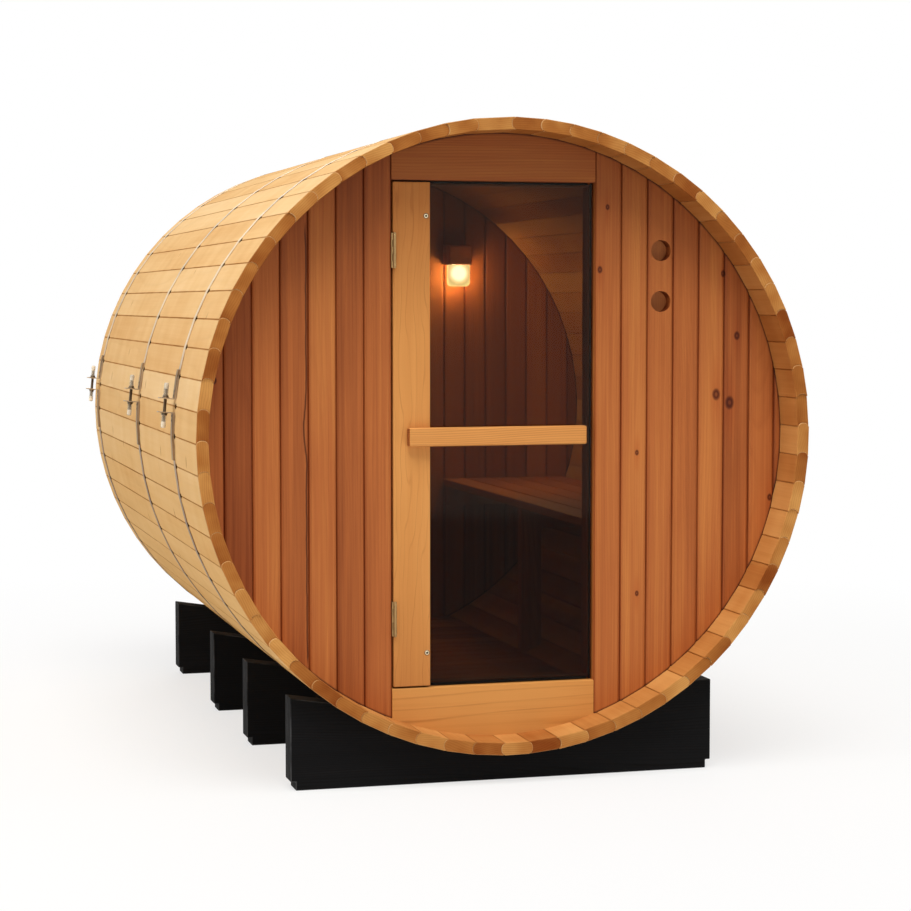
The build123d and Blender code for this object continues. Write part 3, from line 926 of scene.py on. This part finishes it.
stave_wood = wood("stave_wood", STAVE_OUTSIDE, STAVE_END, STAVE_INSIDE, figure=0.35, line_depth=0.12,
                  streak=0.3, mottle=0.42, knot_share=0.25, knot_shape=(9, 3, 0.6), roughness=0.7,
                  specular=0.0, marks=[stave_marks])
wall_wood = wood("wall_wood", CEDAR, CEDAR_END, line_depth=0.2, marks=[wall_marks, front_marks])
back_wood = wood("back_wood", CEDAR, CEDAR_END, line_depth=0.25, knot_share=0.25, marks=[wall_marks])
header_wood = wood("header_wood", CEDAR, CEDAR_END, figure=0.5, marks=[wall_marks])
sill_wood = wood("sill_wood", ASPEN, CEDAR_END, figure=1.2, ring_width=0.018, line_depth=0.6,
                 late_share=0.8)
stile_wood = wood("stile_wood", HANDLE, CEDAR_END, figure=1.6, ring_width=0.016, line_depth=0.5,
                  late_share=0.82, ripple_depth=0.045, streak=0.35, marks=[stile_marks])
handle_wood = wood("handle_wood", HANDLE, CEDAR_END, along="X", figure=1.2, ring_width=0.006,
                   line_depth=0.8)
lit_cover_wood = wood("lit_cover_wood", LIT_COVER, CEDAR_END, along="Z", line_depth=0.3)
frame_wood = wood("frame_wood", CEDAR, CEDAR_END, along="Z")
inside_wood = wood("inside_wood", CEDAR, CEDAR_END, knot_share=0.2)
stained_wood = wood("stained_wood", STAIN, STAIN, knot_share=0.1, roughness=0.75, specular=0.08,
                    line_depth=0.9, marks=[worn_and_highlit_edges])
steel = metal("band_steel", (0.76, 0.58, 0.37), 0.42, scratches=(4, 60, 4), relief=0.04,
              metallic=0.2, marks=[band_lower_shade])
strap_steel = metal("strap_steel", (0.32, 0.19, 0.08), 0.55, scratches=(4, 60, 4), relief=0.04,
                    metallic=0.1)
zinc = metal("zinc_plate", (0.24, 0.18, 0.12), 0.36)
brass = metal("hinge_brass", (0.42, 0.27, 0.11), 0.38, tarnish_to=0.75, metallic=0.7)
screw_brass = metal("screw_brass", (0.72, 0.60, 0.40), 0.30, tarnish_to=0.75)
cap_plastic = plain("cap_plastic", srgb(240, 228, 206), 0.35, alpha=0.3)
cap_ends = plain("cap_ends", srgb(244, 234, 214), 0.4)
black_rubber_and_shade = plain("black_rubber_and_shade", srgb(14, 12, 11), 0.7)
hood_metal = plain("hood_metal", srgb(214, 130, 74), 0.6)
door_tint = tinted_glass("door_tint")
lamp_light = lit_glass("lamp_light")


# Barrel

def joint_curve(corner, middle, gap):
    """Side of a stave at a joint, from the outer face inwards, in the stave's own YZ."""
    towards = 1 if corner == 0 or corner > BOTTOM_STAVE else -1
    shoulder = STAVE_VEE / STAVE_THICKNESS
    points = []
    for step in range(BEAD_STEPS + 1):
        turn = math.pi * step / BEAD_STEPS
        depth = shoulder + (1 - 2 * shoulder) * (1 - math.cos(turn)) / 2
        radius = BARREL_RADIUS - STAVE_THICKNESS * depth
        bulge = towards * BEAD_DEPTH * math.sin(turn)
        angle = corner_angle(corner) + (bulge + gap) / radius - middle
        points.append((radius * math.sin(angle), radius * math.cos(angle)))
    return points


def stave(number, gaps, setback, rear_setback):
    """Stave from one joint to the next, with the bead or cove of each."""
    start, end = corner_angle(number), corner_angle(number + 1)
    middle = (start + end) / 2
    half = (end - start) / 2
    outer_y = BARREL_RADIUS * math.sin(half) - STAVE_VEE
    outer_z = BARREL_RADIUS * math.cos(half)
    inner_y = INNER_RADIUS * math.sin(half) - STAVE_VEE / 2
    inner_z = INNER_RADIUS * math.cos(half)
    profile = [(-outer_y, outer_z), (outer_y, outer_z)]
    profile += joint_curve(number + 1, middle, -gaps[number + 1] / 2)
    profile += [(inner_y, inner_z), (-inner_y, inner_z)]
    profile += reversed(joint_curve(number, middle, gaps[number] / 2))
    low, high = box("barrel_wall_01")
    stave_place = place(Vector((0, low.y + setback, AXIS_HEIGHT)), Y_AXIS, radial(middle))
    length = high.y - low.y - setback - rear_setback
    return prism(profile, length, stave_place, STAVE_EDGE), stave_place


def stave_tone(number):
    """Drawn tone of a stave, unless it is one of those that stand out."""
    drawn = chance.uniform(*STAVE_TONES)
    if number in PALE_STAVES:
        return PALE_TONE
    return DARK_TONE if number in DARK_STAVES else drawn


def build_barrel():
    """Staves, a piece for every node of the barrel's wall."""
    gaps = [chance.choice(JOINT_GAPS) for joint in range(STAVE_COUNT)]
    gaps.append(gaps[0])
    for segment in range(STAVE_COUNT // STAVES_PER_SEGMENT):
        boards = []
        for number in range(segment * STAVES_PER_SEGMENT, (segment + 1) * STAVES_PER_SEGMENT):
            setback, rear_setback = (chance.uniform(0, LARGEST_SETBACK) for end in range(2))
            pith = chance.choice((quarter_sawn, flat_sawn, flat_sawn))()
            solid, stave_place = stave(number, gaps, setback, rear_setback)
            boards.append((solid, stave_place, stave_tone(number), pith))
        label = f"{segment + 1:02d}"
        timber(f"staves_{label}", boards, stave_wood, [f"barrel_wall_{label}"])


# End walls

def wall_board(left, right, front, back):
    """Upright board of an end wall, cut to the barrel's curve."""
    board_place = upright((left + right) / 2, (front + back) / 2, AXIS_HEIGHT)
    solid = matchboard(board_place, 2 * BARREL_RADIUS, right - left - BOARD_GAP, back - front)
    return clip_to_ring(solid), board_place


def cross_board(name, node, overrun, tone, pith, material):
    """Header or sill, longer than its node below and above, cut to the barrel's curve."""
    middle, size = middle_and_size(node)
    below, above = overrun
    board_place = level(middle.x, middle.y, middle.z + (above - below) / 2)
    solid = plank(board_place, size.x, size.z + below + above, size.y, CROSS_EDGE)
    timber(name, [(clip_to_ring(solid), board_place, tone, pith)], material, [node])


def build_front_wall():
    """Boards left and right of the doorway, counted from it, and the header and sill."""
    for side, toward in (("left", -1), ("right", 1)):
        node = f"front_wall_{side}"
        low, high = box(node)
        doorway_edge = high.x if side == "left" else low.x
        boards = []
        for number, tone in enumerate(FRONT_TONES[side]):
            near = doorway_edge + toward * BOARD_PITCH * number
            left, right = sorted((near, near + toward * BOARD_PITCH))
            solid, board_place = wall_board(left, right, low.y, high.y)
            if left < VENTS[0][0] < right:
                solid = bored(solid, VENTS)
            pith = flat_sawn() if number in ARCHED_BOARDS[side] else quarter_sawn()
            boards.append((solid, board_place, tone, pith))
        timber(f"front_boards_{side}", boards, wall_wood, [node])
    cross_board("header_board", "door_header", (0, CROSS_OVERRUN), HEADER_TONE, quarter_sawn(),
                header_wood)
    cross_board("sill_board", "door_sill", (CROSS_OVERRUN, 0), SILL_TONE, flat_sawn(),
                sill_wood)


def build_back_wall():
    """Boards of the back wall, from left to right."""
    low, high = box("back_wall")
    boards = []
    joint = BACK_BOARD_JOINT - BOARD_PITCH * math.ceil((BACK_BOARD_JOINT + INNER_RADIUS) / BOARD_PITCH)
    while joint < INNER_RADIUS:
        solid, board_place = wall_board(joint, joint + BOARD_PITCH, low.y, high.y)
        pith = chance.choice((quarter_sawn, quarter_sawn, flat_sawn))()
        boards.append((solid, board_place, chance.uniform(*BACK_TONES), pith))
        joint += BOARD_PITCH
    timber("back_boards", boards, back_wood, ["back_wall"])


# Door

def build_door():
    """The door's stile, and the small screws through it."""
    middle, size = middle_and_size("door_stile")
    stile_place = upright(*middle)
    stile = (plank(stile_place, size.z, size.x, size.y), stile_place, STILE_TONE, quarter_sawn())
    timber("stile_board", [stile], stile_wood, ["door_stile"], body="door")
    front = box("door_stile")[0].y
    spots = [facing(x, front, z) for x, z in STILE_SCREWS]
    washers = [lathe(STILE_WASHER, spot) for spot in spots]
    # Black rims and sockets round the stile screws: painted shade
    shadow_rims = [lathe(profile, spot) for spot in spots for profile in (STILE_SHADOW_RIM, STILE_SOCKET)]
    piece("stile_screws", washers, screw_brass, body="door")
    piece("stile_screw_shadows", shadow_rims, black_rubber_and_shade, body="door")


def build_seal():
    """Black rubber strips on the stop that the door closes against, their black also painted shade in the
    gap round the door.
    """
    left, right = box("front_wall_left")[1].x, box("front_wall_right")[0].x
    bottom, top = box("door_sill")[1].z, box("door_header")[0].z
    y = box("door_frame")[0].y - SEAL_GAP - SEAL_THICKNESS / 2
    width, inset = SEAL_RIGHT
    side = upright(right - inset, y, (bottom + top) / 2)
    strips = [plank(side, top - bottom - SEAL_PLAY, width, SEAL_THICKNESS, SEAL_EDGE)]
    for (height, inset), edge, inwards in ((SEAL_BOTTOM, bottom, 1), (SEAL_TOP, top, -1)):
        across = level((left + right) / 2, y, edge + inwards * inset)
        strips.append(plank(across, right - left - SEAL_SHORTER, height, SEAL_THICKNESS, SEAL_EDGE))
    piece("door_seal", strips, black_rubber_and_shade)


def build_hinge_pins():
    """Round pin heads in the outer knuckles of each hinge, and a small screw head on their fronts."""
    low, high = box("hinge_wall_leaves")
    pin_x = box("door_stile")[0].x + PIN_OFFSET[0]
    pin_y = low.y + PIN_OFFSET[1]
    heads = []
    for bottom in (low.z, high.z - HINGE_LENGTH):
        for z, way in ((bottom, -1), (bottom + HINGE_LENGTH, 1)):
            turned = Matrix.Rotation(math.pi if way < 0 else 0, 4, "X")
            heads.append(lathe(PIN_HEAD, Matrix.Translation((pin_x, pin_y, z)) @ turned))
            heads.append(lathe(PIN_SCREW, facing(pin_x, low.y, z - way * PIN_SCREW_INSET)))
    piece("hinge_pins", heads, brass)


# Inside

def build_inside():
    """Floor boards from the front to the back, and the bench's slats."""
    low, high = box("floor_boards")
    boards = []
    pitch = FLOOR_BOARD + FLOOR_GAP
    for number in range(round((high.y - low.y + FLOOR_GAP) / pitch)):
        y = low.y + FLOOR_BOARD / 2 + number * pitch
        board_place = place(Vector((0, y, (low.z + high.z) / 2)), X_AXIS, Z_AXIS)
        solid = plank(board_place, high.x - low.x + FLOOR_OVERRUN, FLOOR_BOARD, high.z - low.z)
        boards.append(plain_board(clip_to_ring(solid), board_place, FLOOR_TONES))
    timber("floor_planks", boards, inside_wood, ["floor_boards"])

    middle, size = middle_and_size("bench_slats")
    slats = []
    width = (size.x - (SLAT_COUNT - 1) * SLAT_GAP) / SLAT_COUNT
    for number in range(SLAT_COUNT):
        x = middle.x - size.x / 2 + width / 2 + number * (width + SLAT_GAP)
        slat_place = place(Vector((x, middle.y, middle.z)), Y_AXIS, Z_AXIS)
        solid = plank(slat_place, size.y, width, size.z, SLAT_EDGE)
        slats.append(plain_board(solid, slat_place, SLAT_TONES))
    timber("bench_top", slats, inside_wood, ["bench_slats"])


# Cradles

def cradle_board(low, high, start, depth):
    """One of the two boards of a cradle, hollowed to the barrel, with its lower corners cut back."""
    left, right, step = low.x + FOOT_INSET, high.x - FOOT_INSET, low.z + FOOT_HEIGHT
    profile = [(left, low.z), (right, low.z), (right, step), (high.x, step), (high.x, high.z)]
    hollow = [on_ring(corner_angle(corner), CRADLE_SEAT) for corner in range(STAVE_COUNT, 0, -1)]
    profile += [(point.x, point.z) for point in hollow if point.z < high.z - HOLLOW_MARGIN]
    profile += [(low.x, high.z), (low.x, step), (left, step)]
    faces_y = (start + CRADLE_GAP, start + depth - CRADLE_GAP)
    solid = skinned([[(x, y, z) for x, z in profile] for y in faces_y])
    outer = [edge for edge in solid.edges if edge.calc_face_angle(0) > CRADLE_CREASE]
    return eased_edges(solid, outer, CRADLE_EDGE)


def build_cradles():
    """Cradles under the barrel, each of two boards side by side."""
    for number in range(1, CRADLE_COUNT + 1):
        low, high = box(f"cradle_{number}")
        half = (high.y - low.y) / 2
        boards = []
        for start in (low.y, low.y + half):
            board_place = level(0, start + half / 2, (low.z + high.z) / 2)
            solid = cradle_board(low, high, start, half)
            boards.append(plain_board(solid, board_place, CRADLE_TONES))
        timber(f"cradle_beam_{number}", boards, stained_wood, [f"cradle_{number}"])


# Metalwork

def strap_plate(side, length, middle_y):
    """Second thickness of steel riveted along a band's end, bent with the staves' flats."""
    angles = [corner_angle(TENSIONER_CORNER + flat * side) for flat in range(3)]
    lines = []
    for rise in (STRAP_FOOT, STRAP_TOP):
        radius = BARREL_RADIUS + rise / math.cos(STAVE_FLAT_SLOPE)
        points = [on_ring(angle, radius) for angle in angles]
        first_flat = (points[1] - points[0]).length
        start = points[0].lerp(points[1], NUT_START / first_flat)
        end = points[1].lerp(points[2], (length - first_flat) / (points[2] - points[1]).length)
        lines.append([start, points[1], end])
    outline = lines[0] + lines[1][::-1]
    sides = (middle_y - STRAP_HALF_WIDTH, middle_y + STRAP_HALF_WIDTH)
    rings = [[(point.x, y, point.z) for point in outline] for y in sides]
    return skinned(rings, ends=((0, 1, 4, 5), (1, 2, 3, 4)))


def build_tensioners():
    """Threaded rods with their nuts and plastic caps, and the riveted plates on the bands' ends."""
    corner = corner_angle(TENSIONER_CORNER)
    outward = radial(corner)
    upward = Vector((math.sin(corner), 0, -math.cos(corner)))
    slope = math.tan(STAVE_FLAT_SLOPE)
    thread = []
    for turn in range(round(2 * ROD_HALF_LENGTH / THREAD_PITCH)):
        height = turn * THREAD_PITCH - ROD_HALF_LENGTH
        thread += [(THREAD_RADII[0], height), (THREAD_RADII[1], height + THREAD_PITCH / 2)]
    for label in BANDS:
        middle = middle_and_size(f"tensioner_{label}")[0]
        metalwork = [lathe(thread, place(middle, Y_AXIS, upward), segments=16)]
        caps, plugs, rivets, plates = [], [], [], []
        for side in (-1, 1):
            outwards = place(middle, Y_AXIS * side, upward * side)
            seat = outwards @ Matrix.Translation((0, 0, NUT_START))
            past_nut = outwards @ Matrix.Translation((0, 0, NUT_START + NUT_HEIGHT))
            metalwork += [lathe(NUT_WASHER, seat), lathe(NUT, seat, segments=6)]
            caps.append(lathe(ROD_CAP, past_nut))
            plugs.append(lathe(CAP_PLUG, past_nut))
            plates.append(strap_plate(-side, STRAP_PLATES[side], middle.y))
            leaning = (outward + upward * side * slope).normalized()
            for along in RIVETS:
                radius = BARREL_RADIUS + STRAP_TOP - along * slope
                spot = on_ring(corner, radius, middle.y) + upward * side * along
                rivets.append(lathe(RIVET, place(spot, Y_AXIS, leaning), segments=16))
        piece(f"threaded_rod_{label}", metalwork, zinc, [f"tensioner_{label}"])
        piece(f"rod_caps_{label}", caps, cap_plastic)
        piece(f"cap_ends_{label}", plugs, cap_ends)
        piece(f"strap_plates_{label}", plates, strap_steel)
        piece(f"strap_rivets_{label}", rivets, zinc)


# Frame nodes that show as they are

def finish_nodes():
    """Gives the frame nodes that no piece replaces their finishes."""
    finishes = {
        "door_frame": frame_wood, "vent_cover": lit_cover_wood, "door_glass": door_tint,
        "door_handle": handle_wood, "hinge_wall_leaves": brass, "hinge_door_leaves": brass,
        "lamp_hood": hood_metal, "lamp_glass": lamp_light, "floor_joists": frame_wood,
        "bench_supports": frame_wood, "band_front": steel, "band_middle": steel, "band_rear": steel,
    }
    for node, material in finishes.items():
        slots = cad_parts[node].data.materials
        slots.clear()
        slots.append(material)


# Stage: area lamps by place, size, power and colour, all aimed at one point; the wall lamp's own
# lights; and the camera

AIM = Vector((0, 1.0, 1.0))
AREA_LAMPS = {
    "key": ((-2.2, -6.8, 16.2), 10.0, 2420, (1.0, 0.98, 0.95)),
    "front_fill": ((1.0, -8.0, 0.8), 5.0, 82, (1.0, 0.95, 0.87)),
    "left_fill": ((-8.5, -0.5, 6.2), 5.0, 310, (1.0, 0.95, 0.86)),
    "right_fill": ((9.0, -1.0, 4.5), 5.0, 120, (1.0, 0.98, 0.95)),
    "back_fill": ((2.0, 11.0, 5.0), 6.0, 260, (1.0, 0.98, 0.95)),
}
WALL_LAMP_LIGHTS = {"lamp_bulb": (0.004, 0.026, 0), "lamp_glow": (0.1, -0.55, -0.3)}
WALL_LAMP_POWER = 5.0
WALL_LAMP_COLOUR = (1.0, 0.90, 0.50)
WALL_LAMP_RADIUS = 0.02
CAMERA_PLACE = (-1.897, -6.382, 1.388)
CAMERA_DOWN = 3.81
CAMERA_RIGHT = 15.38
FOCAL_LENGTH = 90.6
SENSOR_WIDTH = 36


def build_world():
    """Soft light all round, and a white background where rays look for one."""
    world = bpy.data.worlds.new("studio")
    bpy.context.scene.world = world
    shader = Shader(world, "Background", "World Output")
    shader.feed(shader.surface, {"Color": (1.0, 0.985, 0.965, 1), "Strength": 0.27})
    backdrop = shader.node("ShaderNodeBackground", {"Color": (1, 1, 1, 1), "Strength": 1})
    shader.blend(shader.white_rays(), shader.surface, backdrop)


def build_floor():
    """Pale floor that keeps the sauna's shadow and turns as white as the backdrop away from it."""
    shader = material_shader("studio_floor")
    shader.feed(shader.surface, {"Base Color": (0.82, 0.82, 0.82, 1), "Roughness": 0.9})
    away = shader.over(shader.distance((0, 1.1, 0)), 5)
    white = shader.times(shader.white_rays(), shader.ramp(away, (0.2, 0.66), (0.85, 1.0)))
    shader.blend(white, shader.surface, shader.node("ShaderNodeEmission"))
    bpy.ops.mesh.primitive_plane_add(size=60, location=(0, 0, -0.0005))
    floor = bpy.context.object
    floor.name = "studio_floor"
    floor.data.materials.append(shader.owner)


def lamp(name, kind, location, power, colour):
    """A light of a kind at a place."""
    light = linked(name, bpy.data.lights.new(name, kind))
    light.location = location
    light.data.energy = power
    light.data.color = colour
    return light


def build_lamps():
    """Area lamps round the sauna, and the lit wall lamp inside."""
    for name, (location, size, power, colour) in AREA_LAMPS.items():
        light = lamp(name, "AREA", location, power, colour)
        light.data.size = size
        light.rotation_euler = (AIM - light.location).to_track_quat("-Z", "Y").to_euler()
    middle = middle_and_size("lamp_glass")[0]
    for name, offset in WALL_LAMP_LIGHTS.items():
        light = lamp(name, "POINT", middle + Vector(offset), WALL_LAMP_POWER, WALL_LAMP_COLOUR)
        light.data.shadow_soft_size = WALL_LAMP_RADIUS


def place_camera():
    """The photo's camera."""
    camera = linked("camera", bpy.data.cameras.new("camera"))
    camera.data.lens = FOCAL_LENGTH
    camera.data.sensor_width = SENSOR_WIDTH
    camera.location = CAMERA_PLACE
    camera.rotation_euler = (math.radians(90 - CAMERA_DOWN), 0, math.radians(-CAMERA_RIGHT))
    bpy.context.scene.camera = camera
    bpy.context.scene.view_settings.view_transform = "Standard"


build_barrel()
build_front_wall()
build_back_wall()
build_door()
build_seal()
build_hinge_pins()
build_inside()
build_cradles()
build_tensioners()
finish_nodes()
build_world()
build_floor()
build_lamps()
place_camera()
